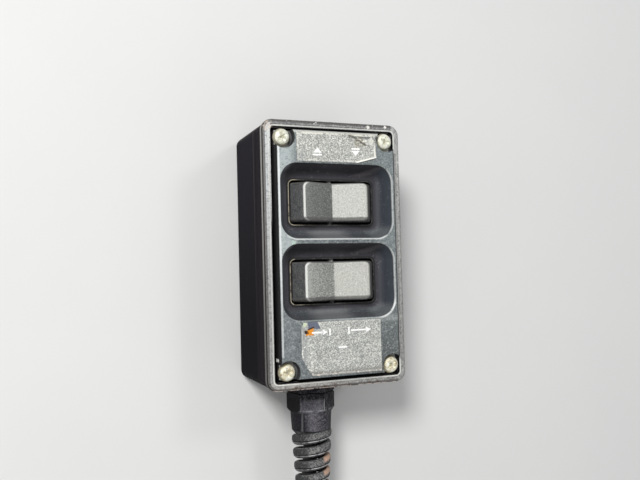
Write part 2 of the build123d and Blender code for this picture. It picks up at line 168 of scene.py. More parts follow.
def add_lamp(name, towards, distance, size, energy):
    """An area lamp in the direction `towards` from the box's front, aimed at it."""
    data = bpy.data.lights.new(name, "AREA")
    data.shape = "DISK"
    data.size = size * MM
    data.energy = energy
    direction = Vector(towards).normalized()
    lamp = add_object(name, data)
    lamp.location = (Vector(BOX_FRONT) + direction * distance) * MM
    lamp.rotation_euler = (-direction).to_track_quat("-Z", "Y").to_euler()


def tone(colour):
    """A picture colour, 0xRRGGBB or three numbers up to 255, as the linear colour that a shader takes."""
    parts = colour.to_bytes(3, "big") if isinstance(colour, int) else colour
    shares = [part / 255 for part in parts]
    return (*[s / 12.92 if s <= 0.04045 else ((s + 0.055) / 1.055) ** 2.4 for s in shares], 1)


def scaled(colour, factor):
    return [part * factor for part in colour.to_bytes(3, "big")]


def clamp(number):
    return max(0, min(1, number))


def connect(value, socket):
    value = getattr(value, "socket", value)
    if isinstance(value, bpy.types.NodeSocket):
        socket.id_data.links.new(value, socket)
    else:
        socket.default_value = value


class Value:
    """An output of a new shader node. Python's arithmetic on it adds Math nodes."""

    def __init__(self, tree, kind, inputs=(), output=0, **settings):
        node = tree.nodes.new("ShaderNode" + kind)
        for name, setting in settings.items():
            setattr(node, name, setting)
        for key, value in dict(inputs).items():
            connect(value, node.inputs[key])
        self.tree = tree
        self.socket = node.outputs[output]

    def maths(self, operation, *others):
        return Value(self.tree, "Math", enumerate((self, *others)), operation=operation)

    def __add__(self, other):
        return self.maths("ADD", other)

    def __sub__(self, other):
        return self.maths("SUBTRACT", other)

    def __rsub__(self, other):
        return self * -1 + other

    def __mul__(self, other):
        return self.maths("MULTIPLY", other)

    def __truediv__(self, other):
        return self.maths("DIVIDE", other)

    def __abs__(self):
        return self.maths("ABSOLUTE")

    def least(self, other):
        return self.maths("MINIMUM", other)

    def most(self, other):
        return self.maths("MAXIMUM", other)

    def ramp(self, low, high):
        """0 at low and 1 at high, or the other way round where low is the larger, smoothly between."""
        limits = {"From Min": min(low, high), "From Max": max(low, high), "To Min": low > high, "To Max": low < high}
        return Value(self.tree, "MapRange", {"Value": self, **limits}, interpolation_type="SMOOTHSTEP")

    def line(self, centre, half_width):
        """1 where the value is at centre, falling to 0 at half_width from it."""
        return abs(self - centre).ramp(half_width, half_width * 0.35)


class Surface:
    """A material being made. x, y and z are the place on the piece at rest, in millimetres."""

    def __init__(self, name, metallic=0, specular=0.5):
        self.material = bpy.data.materials.new(name)
        self.material.use_nodes = True
        self.tree = self.material.node_tree
        self.shader = self.tree.nodes["Principled BSDF"]
        self.set("Metallic", metallic)
        self.set("Specular IOR Level", specular)
        place, normal = [Value(self.tree, "TexCoord", output=output) for output in ("Object", "Normal")]
        self.place = Value(self.tree, "VectorMath", {0: place, "Scale": 1 / MM}, operation="SCALE")
        self.x, self.y, self.z = self.split(self.place)
        self.nx, self.ny, self.nz = self.split(normal)

    def set(self, name, value):
        connect(value, self.shader.inputs[name])

    def split(self, vector):
        return [Value(self.tree, "SeparateXYZ", {0: vector}, output) for output in range(3)]

    def noise(self, size, detail=2, roughness=0.5, stretch=(1, 1, 1), warp=0):
        """Noise about 0.5 whose features are about `size` across, stretched and then bent by up to `warp`."""
        place = Value(self.tree, "VectorMath", {0: self.place, 1: stretch}, operation="MULTIPLY")
        if warp:
            bend = Value(self.tree, "TexNoise", {"Scale": 1 / 8, "Vector": self.place}, "Color")
            place = Value(self.tree, "VectorMath", {0: bend, 1: [warp] * 3, 2: place}, operation="MULTIPLY_ADD")
        return Value(self.tree, "TexNoise", {"Scale": 1 / size, "Detail": detail, "Roughness": roughness,
                                             "Vector": place})

    def cells(self, size):
        """Distance to the nearest of scattered points about `size` apart, in units of that size."""
        return Value(self.tree, "TexVoronoi", {"Scale": 1 / size, "Vector": self.place}, "Distance")

    def outline(self, half, corner, centre=(0, 0)):
        """Distance outside a rounded rectangle on the front; negative inside it."""
        across = abs(self.x - centre[0]) - (half[0] - corner)
        up = abs(self.z - centre[1]) - (half[1] - corner)
        far_across, far_up = across.most(0), up.most(0)
        outside = (far_across * far_across + far_up * far_up).maths("SQRT")
        return outside + across.most(up).least(0) - corner

    def spot(self, x, z, radius, wobble):
        """1 inside a round patch at (x, z) on the front, with an edge that the noise `wobble` roughens."""
        across, up = self.x - x, self.z - z
        distance = (across * across + up * up).maths("SQRT") / radius + (wobble - 0.5) * 2.2
        return distance.ramp(1.15, 0.75)

    def colour(self, base, *layers):
        """Paints the base colour, then each (mask, colour) over it in turn."""
        below = tone(base)
        for mask, above in layers:
            below = Value(self.tree, "Mix", {0: mask, 6: below, 7: tone(above)}, 2, data_type="RGBA")
        self.set("Base Color", below)

    def roughness(self, base, *layers):
        for mask, above in layers:
            base = Value(self.tree, "Mix", {0: mask, 2: base, 3: above})
        self.set("Roughness", base)

    def bump(self, *heights):
        """Raises the surface by the sum of the heights, in millimetres."""
        total = heights[0]
        for height in heights[1:]:
            total = total + height
        self.set("Normal", Value(self.tree, "Bump", {"Strength": 1, "Distance": MM, "Height": total}))

    def put_on(self, *pieces):
        for piece in pieces:
            piece.data.materials.clear()
            piece.data.materials.append(self.material)


def housing_finish():
    s = Surface("moulded_housing", specular=0.012)
    x, y, z = s.x, s.y, s.z
    depth = y - RIM_FRONT
    outer = s.outline(RIM_HALF, RIM_CORNER)
    inner = s.outline([half - RIM_WIDTH for half in RIM_HALF], RIM_INNER_CORNER)
    front = depth.ramp(0.95, 0.55)
    fine = s.noise(0.45, 3, 0.6)
    grit = s.noise(0.85, 4, 0.75)
    broad = s.noise(7, 3, 0.6)
    patchy = s.noise(2.6, 3, 0.65)
    streaks = s.noise(0.7, 3, 0.6, stretch=(1, 1, 0.03))
    high = z.ramp(-48, 45)
    left, right = x.ramp(-29.4, -30.2), x.ramp(29.4, 30.2)
    bottom, top = z.ramp(-55.8, -56.4), z.ramp(55.8, 56.4)
    side_band = depth.ramp(0.95, 1.15) * depth.ramp(RIM_DEPTH + 0.15, RIM_DEPTH - 0.1)
    upwards = s.nz.ramp(0.3, 0.8)
    ridges = (inner * 7.4 + patchy * 1.6).maths("SINE").ramp(0, 0.8) * s.noise(5, 2).ramp(0.35, 0.6)
    s.colour(
        0x0C0B10,
        # Painted light: the side is lighter towards the top and towards the front
        (high, 0x222026),
        (depth.ramp(17.5, 13.5) * 0.7, 0x262225),
        (streaks.ramp(0.5, 0.75) * 0.2, 0x302D31),
        (broad.ramp(0.55, 0.8) * 0.15, 0x363230),
        # Painted highlight: a light line along the side at 15.7 mm depth
        (depth.line(15.7, 0.5) * high * 0.7, 0x565253),
        (depth.line(4, 0.8) * 0.6, 0x1C1A1B),
        (upwards * (broad * 0.4 + 0.1) * depth.ramp(1, 3), 0x969186),
        (side_band * (high * 0.5 + 0.4) * (grit * 0.7 + 0.6), 0xB4B2AE),
        (front, 0x888785),
        # Painted light: the rim's front gets a tone per side, lightest on the left, and lighter towards the top at the
        # sides
        (front * top, 0x7C7C7C),
        (front * left * (high * 0.85 + 0.15), 0xD0D3D3),
        (front * right * (high * 0.6 + 0.3), 0xAEAFAD),
        (front * bottom * x.ramp(20, -25) * 0.7, 0xACA8A2),
        (front * ridges * (top * 0.4 + 0.35), 0xBEBEBA),
        (front * grit.ramp(0.51, 0.64) * 0.5, 0xCECECA),
        (front * grit.ramp(0.49, 0.36) * 0.6, 0x5C5B5A),
        # Painted shade: the front's outer rounding is darkened
        (front * outer.ramp(-1.5, -1.05) * (1 - right * 0.85) * 0.8, 0x54514F),
        (front * patchy.ramp(0.63, 0.68) * (bottom + right).least(1) * 0.75, 0x34302E),
        (front * patchy.ramp(0.35, 0.31) * (bottom + right + top).least(1) * 0.8, 0xE2E0DA),
        (inner.line(0.82, 0.36) * front * (patchy * 0.9 + 0.4), 0xE4E4DE),
        # Painted shade on the outer rounding just behind the front
        (depth.line(0.66, 0.5) * outer.ramp(-0.85, -0.5) * (1 - right * 0.7), 0x2E2B2A),
        (z.ramp(-59.25, -59.6) * depth.ramp(0.15, 0.4) * depth.ramp(1.6, 1.3) * patchy.ramp(0.42, 0.5), 0xE8D6CC),
        (z.ramp(59.5, 59.8) * depth.ramp(0.25, 0.5) * patchy.ramp(0.3, 0.5) * 0.9, 0xBEBDB7),
        (bottom * front * s.noise(3, 4, 0.7).ramp(0.55, 0.66) * outer.ramp(-2.6, -1.2) * 0.8, 0x483424),
        # Painted shade: the rim's edge at the gap to the plate, and the pocket behind the rim, are darkened
        (inner.ramp(0.5, 0.25) * (1 - left * z.ramp(10, 22)) * front, 0x121113),
        (inner.ramp(0.1, -0.15) * depth.ramp(0.2, 0.7), 0x121113),
        ((s.spot(17.9, 58.4, 0.8, fine) + s.spot(26.8, 58.9, 0.7, fine)) * front, 0xF0EEE6),
        (s.spot(-31.8, 57.4, 2.6, patchy) * front * grit.ramp(0.4, 0.6) * 0.7, 0xD4C4B6),
    )
    s.roughness(0.5, (streaks, 0.6), (front, 0.7), (upwards, 0.75))
    s.bump(s.noise(0.35, 2) * 0.02, front * grit * 0.12, front * ridges * 0.08, streaks * 0.012)
    s.put_on(nodes["housing"])


def plate_finish():
    s = Surface("moulded_switch_plate", specular=0.22)
    x, y, z = s.x, s.y, s.z
    front = y.ramp(PLATE_FRONT + 0.42, PLATE_FRONT + 0.1)
    upper, lower = [s.outline(WELL_HALF, WELL_CORNER, (0, centre)) for centre in WELL_CENTRES]
    well = upper.least(lower)
    inside = well.ramp(0.1, -0.5)
    mouth = well.line(0.1, 0.62) * y.ramp(PLATE_FRONT + 0.9, PLATE_FRONT + 0.3)
    fine = s.noise(0.42, 3, 0.6)
    grit = s.noise(0.85, 4, 0.75)
    broad = s.noise(9, 3, 0.55)
    patchy = s.noise(2.4, 3, 0.65)
    swirl = s.noise(2.2, 4, 0.6, stretch=(0.35, 1, 1.2), warp=14)
    left, right, high = x.ramp(-17.5, -24), x.ramp(14.5, 20.5), z.ramp(-24, 4)
    web = z.line(5.4, 3.4)
    left_wall, right_wall = s.nx.ramp(0.15, 0.6) * inside, s.nx.ramp(-0.15, -0.6) * inside
    lower_wall, upper_wall = s.nz.ramp(0.15, 0.6) * inside, s.nz.ramp(-0.15, -0.6) * inside
    near_mouth = y.ramp(PLATE_FRONT + 8.5, PLATE_FRONT + 2)
    climb = z - x * 0.3 - 8.6 + (patchy - 0.5) * 1.6
    sills = (z + WELL_HALF[1]).line(WELL_CENTRES[0], 2) + (z + WELL_HALF[1]).line(WELL_CENTRES[1], 2)
    gleam = climb.line(WELL_CENTRES[0], 1.7) + climb.line(WELL_CENTRES[1], 1.7)
    corner = x.ramp(17, 22) * z.ramp(-20, -24.5)
    strip = x.line(-27.8, 0.62) * z.ramp(-45.6, -44) * (z.ramp(-34, 8) * 0.4 + 0.6)
    lines = x.ramp(24, 27) * 0.45 + sills * z.ramp(-18, -14) * 0.6 + sills * 0.15 + corner * 0.8
    near_x, near_z = [abs(abs(axis) - place).ramp(NOTCH_HALF + 0.3, NOTCH_HALF)
                      for axis, place in zip((x, z), SCREW_PLACE)]
    notches = near_x * near_z * abs(x).ramp(28.9, 28.5).most(z.ramp(0, 10))
    s.colour(
        0x1E1D20,
        (s.cells(0.8).ramp(0.16, 0.08) * s.noise(3).ramp(0.42, 0.6) * 0.8, 0x807C76),
        (notches, 0xB0B1AE),
        # Painted shade on the notch walls turned to the left, and a painted shadow of the heads on the notch floor
        # right of the left-hand screws
        (notches * s.nx.ramp(-0.3, -0.6), 0x303032),
        (notches * x.ramp(-22.4, -21.4) * x.ramp(0, -5) * 0.8, 0x424243),
        (inside, 0x3C3A3F),
        # Painted light in the wells: left walls lighter, upper walls with a painted highlight streak, right walls
        # darker and bluish as a painted reflection, lower walls lighter with painted highlights
        (inside * x.ramp(-20.5, -25.5), 0x626469),
        (upper_wall * gleam * x.ramp(-3, 6) * 0.7, 0x686467),
        (left_wall * near_mouth, 0x7A7C81),
        (right_wall * (near_mouth * 0.5 + 0.5), 0x424850),
        (lower_wall, 0x46494D),
        (lower_wall * x.line(-2.5, 13) * 0.8, 0x767879),
        (lower_wall * x.line(22, 7) * 0.5, 0x707476),
        (lower_wall * grit.ramp(0.52, 0.64) * 0.4, 0x868888),
        # Swirl marks of the moulding, painted lighter as highlights
        (inside * swirl.line(0.5, 0.03) * patchy.ramp(0.5, 0.66) * 0.4, 0x7E7E80),
        (inside * fine.ramp(0.6, 0.75) * 0.35, 0x606062),
        (front, 0x6C7273),
        # Painted light: the front is lighter on the left and towards the top, and darker to the right and the lower
        # right
        (front * left * (1 - high) * 0.7, 0x7A8083),
        (front * left * high, 0xAEB6B6),
        (front * right * high, 0x7A8182),
        (front * web * x.ramp(-8, 6) * x.ramp(19, 14) * 0.85, 0x545A5E),
        (front * z.ramp(-28, -46) * x.ramp(0, 18) * 0.8, 0x5A5E5E),
        (front * z.line(-29.9, 2) * x.ramp(-12, -4) * 0.8, 0x929696),
        (front * broad.ramp(0.55, 0.75) * 0.35, 0x8C9292),
        (front * broad.ramp(0.45, 0.3) * 0.3, 0x5C6264),
        (front * grit.ramp(0.49, 0.36) * 0.55, 0x464A4B),
        (front * grit.ramp(0.51, 0.64) * 0.45, 0xB6BBB9),
        (front * patchy.ramp(0.64, 0.72) * 0.5, 0xB0B4AF),
        (front * z.ramp(53.3, 54.1) * (patchy * 0.5 + 0.5), 0xD4D4CC),
        # Worn edges along the well mouths and the plate's left edge, painted light as highlights
        (mouth * lines * patchy.ramp(0.25, 0.45), 0xDEE1DF),
        (front * strip * (patchy * 0.5 + 0.6), 0xE8EAE9),
        (x.ramp(-28.3, -28.5), 0x181719),
        (x.ramp(28.2, 28.4) * (patchy * 0.3 + 0.75), 0x2C2C2E),
        (s.spot(-22.6, 8, 1.3, patchy) * front * 0.8, 0xC4D4CA),
        (s.spot(-21.9, 4.6, 1.1, patchy) * front * 0.8, 0xBACCC0),
        (s.spot(-28.9, -46.3, 0.7, fine) * y.ramp(-51, -50.5), 0xF0F0EA),
    )
    s.roughness(0.58, (inside, 0.52), (inside * patchy.ramp(0.4, 0.7) * 0.6, 0.6), (front, 0.68))
    s.bump(front * grit * 0.1, front * patchy * 0.05, inside * swirl * 0.02, s.noise(0.3) * 0.01)
    s.put_on(nodes["switch_plate"])


def rocker_finish(name, centre, left_tone, right_tone):
    """Matte moulding whose two finger faces carry painted light: the right face painted lighter as lit, the left
    darker as shaded.
    """
    s = Surface("moulded_" + name, specular=0.3)
    x, z = s.x, s.z
    grit = s.noise(0.62, 4, 0.8)
    smudge = s.noise(3, 3, 0.6)
    face = s.ny.ramp(-0.8, -0.9)
    right = x.ramp(-0.12, 0.12)
    end = s.ny.ramp(-0.3, -0.5) * (1 - face)
    paddle = s.outline((CREST, ROCKER_HALF_HEIGHT), PADDLE_CORNER, (0, centre))
    crest = paddle.line(-0.3, 0.64) * x.ramp(-12, -14)
    grains = [(face * half * grit.ramp(*edges) * 0.75, scaled(colour, factor))
              for half, colour, factors in ((1 - right, left_tone, (0.66, 1.34)), (right, right_tone, (0.83, 1.15)))
              for edges, factor in zip(((0.49, 0.38), (0.51, 0.62)), factors)]
    above, below = (z - centre).ramp(7.9, 8.7), (z - centre + (smudge - 0.5) * 0.8).ramp(-6.6, -7.3)
    s.colour(
        0x2E2E2F,
        (smudge.ramp(0.45, 0.7) * 0.5, 0x484746),
        (end, 0x4E4F50),
        (end * grit.ramp(0.5, 0.62) * 0.7, 0x767572),
        (end * grit.ramp(0.48, 0.36) * 0.6, 0x2E2E30),
        (end * smudge.ramp(0.5, 0.35) * 0.6, 0x343436),
        (face, left_tone),
        # Painted light and shade: the left face lighter towards its crest and darker towards the hollow
        (face * x.ramp(-9, -15) * 0.45, scaled(left_tone, 1.28)),
        (face * x.ramp(-7.5, -3.5) * 0.4, scaled(left_tone, 0.8)),
        (face * right, right_tone),
        *grains,
        # Painted light on the upper rounded edge, painted shade on the lower one
        (above * 0.35, 0x969591),
        (below * 0.85, 0x545352),
        (below * grit.ramp(0.5, 0.65) * 0.4, 0x8C8B88),
        # Painted highlight along the left crest, and painted shade on the right end's edge
        (crest * (1 - below * 0.8) * (1 - above * 0.5) * (grit * 0.5 + 0.62), 0xE0E0DB),
        (paddle.ramp(-0.6, 0.2) * x.ramp(11, 13) * 0.7, 0x686765),
    )
    s.roughness(0.5, (face * grit, 0.6))
    s.bump(face * grit * 0.08, end * grit * 0.08, s.noise(0.3) * 0.012)
    return s


def switch_frame_finish(node, centre):
    s = Surface("moulded_" + node, specular=0.3)
    x, y, z = s.x, s.y, s.z
    smudge = s.noise(2, 3, 0.6)
    lip = s.outline(FRAME_HALF, FRAME_CORNER, (0, centre)).line(0.1, 0.34)
    lip = lip * y.ramp(FRAME_FRONT + 0.8, FRAME_FRONT + 0.3)
    along = x.ramp(-15, -19).most((z - centre).ramp(-6, -9) * x.ramp(-4, -15) * 0.6)
    s.colour(
        0x1E1D1F,
        (s.noise(0.5).ramp(0.4, 0.7) * 0.4, 0x2E2D2E),
        # Painted highlight: the lip round the opening is lighter, brightest along its left and lower edges
        (lip * smudge.ramp(0.45, 0.6) * 0.45, 0x686560),
        (lip * along * smudge.ramp(0.3, 0.55) * 0.8, 0xBEB49E),
    )
    s.roughness(0.46, (smudge, 0.56))
    s.bump(s.noise(0.3) * 0.012)
    s.put_on(nodes[node])


def screw_finish(node, brassy):
    s = Surface("plated_" + node, metallic=0.25, specular=0.5)
    pits = s.noise(0.75, 4, 0.65)
    patches = s.noise(1.9, 3, 0.6)
    recess = s.y.ramp(HEAD_FRONT + 0.75, HEAD_FRONT + 1.15)
    plating, stain, stained = (0xE2DBC0, 0x96805C, 0.85) if brassy else (0xE2E2D0, 0xC4BEA0, 0.5)
    s.colour(
        plating,
        (patches.ramp(0.48, 0.62), 0xF0F1E6),
        (patches.ramp(0.44, 0.34) * stained, stain),
        (pits.ramp(0.4, 0.3) * 0.7, 0x807862),
        (recess * 0.7, 0x8C8468),
        (s.y.ramp(HEAD_FRONT + 2.1, HEAD_FRONT + 2.7) * 0.6, 0x6E685C),
    )
    s.roughness(0.5, (patches.ramp(0.4, 0.6), 0.72))
    s.bump(pits * 0.2, patches * 0.14)
    return s


def label_finish(name, light, dark, layers):
    """Speckled metallic film, with a printed face that has rubbed thin."""
    s = Surface(name, metallic=0.15, specular=0.35)
    grain = s.noise(0.53, 4, 0.8)
    coarse = s.noise(1.5, 3, 0.6)
    s.colour(
        light,
        (s.noise(8, 2).ramp(0.45, 0.7) * 0.3, dark),
        (grain.ramp(0.495, 0.41), dark),
        (grain.ramp(0.505, 0.59) * 0.95, 0xE8E8E0),
        (coarse.ramp(0.6, 0.72) * 0.5, 0xD0D0C8),
        *layers(s, coarse),
    )
    s.roughness(0.5, (grain, 0.64))
    s.bump(grain * 0.12, coarse * 0.08)
    return s


def upper_label_layers(s, coarse):
    x, z = s.x, s.z
    edge = s.outline((LABEL_HALF, 6.4), 0.8, (0, 47.48))
    torn = z - 41.2 - (x - 10.2) * 0.25
    flakes = s.noise(1.2, 4, 0.7, stretch=(0.6, 1, 1.5))
    streak_rise = z - 51.4 + (x - 10) * 0.45 - (s.noise(3) - 0.5) * 3
    streaked = x.ramp(4.6, 6.4) * x.ramp(17, 15.4)
    flaked = z.ramp(49.6, 50.4) * z.ramp(52.2, 51.4) * x.ramp(-3.5, -1) * x.ramp(4.5, 2.5)
    return [
        (x.ramp(-13, -19) * z.ramp(47, 43) * 0.5, 0x8C9092),
        (z.line(52.6, 0.8) * x.ramp(5, 8) * coarse.ramp(0.3, 0.5), 0x707472),
        (z.ramp(53.1, 53.5) * coarse.ramp(0.35, 0.55), 0xDCDAD0),
        (edge.line(-0.55, 0.4) * coarse.ramp(0.35, 0.6) * 0.7, 0xE0DED4),
        (flakes.ramp(0.55, 0.6) * flaked, 0xFAF9F0),
        (flakes.ramp(0.44, 0.38) * z.ramp(49.2, 50.6) * x.ramp(-2, 4) * 0.9, 0x686258),
        (s.spot(11, 50.6, 2.8, coarse) * 0.35, 0x8E846C),
        (streak_rise.line(0, 0.75) * flakes.ramp(0.42, 0.5) * streaked * 0.85, 0x545046),
        (streak_rise.line(1.3, 0.6) * flakes.ramp(0.5, 0.58) * streaked, 0xE8E6DC),
        (s.spot(17, 51, 1.6, coarse) * 0.7, 0xDEDED4),
        (torn.line(0, 0.7) * x.ramp(8.5, 10.5), 0xF6F4EA),
        (x.line(18.9, 0.5) * z.ramp(48.5, 47.2), 0xE8E6DC),
    ]


def lower_label_layers(s, coarse):
    x, z = s.x, s.z
    edge = s.outline((LABEL_HALF, 11.7), 0.8, (0, -41.98))
    flakes = s.noise(1.4, 4, 0.7)
    fine_flakes = s.noise(0.9, 3, 0.6)
    ragged = (flakes - 0.5) * 2.4
    torn_x, torn_z = x + ragged, z + ragged
    wedge_side = x + (z + 31) * 0.5
    wedge = torn_x.ramp(-16.6, -16) * (wedge_side + ragged).ramp(-10.8, -11.4) * torn_z.ramp(-33.6, -33)
    wedge_edge = wedge_side.line(-10.9, 0.5) * z.ramp(-33.6, -33) * z.ramp(-29.8, -30.3)
    orange_top = z - (x + 15) * 0.35
    orange = torn_x.ramp(-17.2, -16.8) * torn_x.ramp(-13.4, -13.9) * torn_z.ramp(-36.2, -35.7)
    orange = orange * (orange_top + ragged).ramp(-32.9, -33.4)
    return [
        (x.ramp(-14.5, -19.5) * 0.65, 0x8A8D8E),
        (z.ramp(-50.2, -53) * coarse.ramp(0.25, 0.6) * 0.75, 0x76746E),
        (edge.line(-0.4, 0.4) * coarse.ramp(0.35, 0.6) * 0.6, 0xCECDC5),
        (wedge * 0.9, 0x586074),
        (wedge_edge * flakes.ramp(0.4, 0.5), 0xD6D6CC),
        (orange, 0xE6942C),
        (orange_top.line(-33, 0.5) * x.ramp(-16.6, -16) * x.ramp(-13, -13.6), 0x3E2416),
        (s.spot(-16.9, -34.7, 0.9, fine_flakes), 0x341E14),
        (flakes.ramp(0.55, 0.6) * z.ramp(-38, -41) * x.ramp(-13.5, -15), 0xEEEEE6),
        (s.spot(-17.6, -30.9, 1.1, coarse), 0xCED8BA),
        (flakes.ramp(0.56, 0.62) * z.ramp(-46, -51) * x.ramp(-9, -13), 0xE8E6DC),
        (flakes.ramp(0.5, 0.58) * z.ramp(-52.6, -53.3) * 0.9, 0xECE0D6),
    ]


def nylon_finish(name, *pieces):
    """Black moulded nylon, with painted highlights on the gland's hexagon corners and painted shade on faces turned to
    the left and right.
    """
    s = Surface(name, specular=0.08)
    x, y, z = s.x, s.y, s.z
    across, deep = x - GLAND_X, y - GLAND_Y
    radius = (across * across + deep * deep).maths("SQRT")
    fine = s.noise(0.8, 4, 0.7)
    streaks = s.noise(0.9, 3, 0.6, stretch=(1, 1, 0.08))
    patchy = s.noise(2.5, 3, 0.6)
    turned_left = (s.nx + s.ny * 0.1).ramp(-0.45, -0.85)
    turned_right = s.nx.ramp(0.3, 0.75)
    gland = z.ramp(-100, -95)
    corners = radius.ramp(HEX_CORNER_RADIUS - 0.22, HEX_CORNER_RADIUS - 0.04) * z.ramp(-67, -68.5) * gland
    chamfer = z.line(HEX_END, 0.5) * patchy.ramp(0.42, 0.6) * gland
    s.colour(
        0x545258,
        # Painted shade: faces turned to the right darkened, faces turned to the left darkest on the hexagon and less
        # dark on the skirt
        (turned_right, 0x1C1A1E),
        (turned_left, 0x040406),
        (turned_left * z.ramp(-73.5, -74.5) * gland, 0x1E1C21),
        # Painted shadow of the box across the top of the hexagon, and painted shade on the skirt's right
        (z.ramp(-68.5, -67.5) * gland * 0.9, 0x161118),
        (s.nx.ramp(-0.15, 0.3) * z.ramp(-72.5, -74) * gland * 0.8, 0x302E33),
        (streaks.ramp(0.45, 0.65) * (1 - turned_left) * 0.4, 0x605F64),
        (fine.ramp(0.51, 0.64) * (1 - turned_left * 0.8) * (1 - turned_right * 0.6) * 0.5, 0x828185),
        (fine.ramp(0.48, 0.36) * 0.6, 0x1E1E20),
        (patchy.ramp(0.52, 0.68) * (1 - turned_left) * 0.35, 0x767578),
        # Painted highlights: the hexagon's corners, a line down the skirt and the hexagon's lower chamfer
        (corners * s.nx.ramp(-0.3, 0.1), 0xE0DFDC),
        (across.line(-7, 0.5) * s.ny.ramp(-0.3, -0.5) * z.ramp(-72.5, -74) * gland * streaks * 0.5, 0x8C8B8E),
        (chamfer * s.ny.ramp(-0.3, -0.6) * (1 - turned_left) * 0.55, 0x969596),
    )
    s.roughness(0.48, (streaks, 0.62))
    s.bump(fine * 0.1, streaks * 0.03)
    s.put_on(*pieces)
    return s


def spiral_finish():
    """Nylon whose helical band is textured, above a glossy lip."""
    s = Surface("moulded_spiral", specular=0.45)
    x, y, z = s.x, s.y, s.z
    across, deep = x - GLAND_X, y - GLAND_Y
    turns = deep.maths("ARCTAN2", across) / tau
    drop = (SPIRAL_TOP - z) - SPIRAL_LEAD_IN
    phase = (drop / SPIRAL_PITCH + turns - SPIRAL_START / 360).maths("FRACT")
    lip_from = 1 - (LIP_HEIGHT + SPIRAL_SLOT / 2) / SPIRAL_PITCH
    lip = phase.ramp(lip_from - 0.015, lip_from + 0.015)
    band = 1 - lip
    fine = s.noise(0.8, 4, 0.78)
    dust = s.noise(2.2, 3, 0.6)
    wavy = s.noise(1.6, 3, 0.6, stretch=(1, 1, 0.3))
    radius = (across * across + deep * deep).maths("SQRT")
    sides = s.nx.ramp(-0.3, -0.75) + s.nx.ramp(0.5, 0.85) * 0.7
    warm_highlight_ends = phase.line(0.24, 0.24) * across.ramp(2.4, 3.6) * s.ny.ramp(0.3, 0) * z.ramp(-93, -95)
    s.colour(
        0x3A3A3D,
        (fine.ramp(0.42, 0.6) * band * 0.9, 0x888886),
        (fine.ramp(0.58, 0.7) * band * 0.8, 0xBAB9B4),
        (dust.ramp(0.55, 0.7) * band * 0.5, 0x96948C),
        (fine.ramp(0.44, 0.32) * band * 0.9, 0x202022),
        # Painted sheen: the lip is lighter, with a painted highlight line along it
        (lip * wavy.ramp(0.4, 0.6) * 0.8, 0x767678),
        (phase.line(lip_from + 0.09, 0.05) * wavy.ramp(0.3, 0.6), 0xD6D6D6),
        # Painted shade in the grooves and along the slot
        (phase.line(lip_from + 0.17, 0.035) * 0.8, 0x28282A),
        (phase.line(lip_from, 0.035), 0x18181A),
        (phase.line(0, 0.13) + phase.line(1, 0.1), 0x1E1E20),
        # Painted shade on the sides turned to the left and right, with painted glints
        (sides * 0.85, 0x1A1A1C),
        (sides * fine.ramp(0.6, 0.68) * 0.6, 0x969490),
        # Painted warm highlights on the turns' right-hand ends
        (warm_highlight_ends * (dust * 0.8 + 0.4), 0xD0AC94),
        (radius.ramp(7.6, 6.4), 0x121213),
    )
    s.roughness(0.7, (lip, 0.3))
    s.bump(fine * band * 0.25, dust * 0.05, phase.line(lip_from + 0.17, 0.04) * -0.12)
    return s


def rubber_finish(name):
    s = Surface(name, specular=0.4)
    fine = s.noise(0.5, 2)
    scuffs = s.noise(3, 4, 0.6)
    s.colour(
        0x222224,
        (scuffs.ramp(0.5, 0.7) * 0.45, 0x363535),
        (fine.ramp(0.56, 0.74) * 0.25, 0x424140),
    )
    s.roughness(0.42, (scuffs, 0.62))
    s.bump(fine * 0.02, scuffs * 0.03)
    return s


def woven_finish(name, size):
    """Hook-and-loop tape: a field of tiny loops, lint and a woven ground."""
    s = Surface(name, specular=0.25)
    s.set("Sheen Weight", 0.25)
    s.set("Sheen Roughness", 0.4)
    loops = s.cells(size)
    lint = s.noise(2.5, 4, 0.7)
    s.colour(
        0x1E1E20,
        (loops.ramp(0.55, 0.1) * 0.7, 0x3A3A3D),
        (lint.ramp(0.6, 0.75) * 0.4, 0x62605C),
    )
    s.roughness(0.85, (loops, 0.95))
    s.bump(loops.ramp(0.7, 0.1) * size * 0.5, lint * 0.08)
    return s


def new_mesh(name, vertices, faces):
    """A mesh in the part's frame, from vertices in millimetres."""
    mesh = bpy.data.meshes.new(name)
    mesh.from_pydata([Vector(vertex) * MM for vertex in vertices], [], faces)
    return mesh


def place_mesh(name, mesh, slot, finish, replaced=(), smooth=True, body=BODY):
    work = bmesh.new()
    work.from_mesh(mesh)
    bmesh.ops.remove_doubles(work, verts=work.verts, dist=0.005 * MM)
    bmesh.ops.dissolve_degenerate(work, edges=work.edges, dist=0.002 * MM)
    bmesh.ops.recalc_face_normals(work, faces=work.faces)
    work.to_mesh(mesh)
    work.free()
    if smooth:
        mesh.shade_smooth()
        mesh.set_sharp_from_angle(angle=radians(38))
    piece = add_object(name, mesh)
    finish.put_on(piece)
    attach(piece, body)
    if replaced:
        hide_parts(*replaced)
    return piece


def add_piece(name, vertices, faces, *rest, **options):
    """A piece of new vertices and faces. The rest goes to place_mesh."""
    return place_mesh(name, new_mesh(name, vertices, faces), *rest, **options)


def loft(rings, closed_ends=True):
    """Vertices and faces of a skin over closed rings of equally many points."""
    count = len(rings[0])
    vertices = [point for ring in rings for point in ring]
    faces = []
    for row in range(0, len(vertices) - count, count):
        for step in range(count):
            after = (step + 1) % count
            faces.append((row + step, row + after, row + count + after, row + count + step))
    if closed_ends:
        faces.append(tuple(range(count))[::-1])
        faces.append(tuple(range(len(vertices) - count, len(vertices))))
    return vertices, faces


def join(*parts):
    """One list of vertices and one of faces from several."""
    vertices, faces = [], []
    for more_vertices, more_faces in parts:
        shift = len(vertices)
        vertices += more_vertices
        faces += [tuple(index + shift for index in face) for face in more_faces]
    return vertices, faces


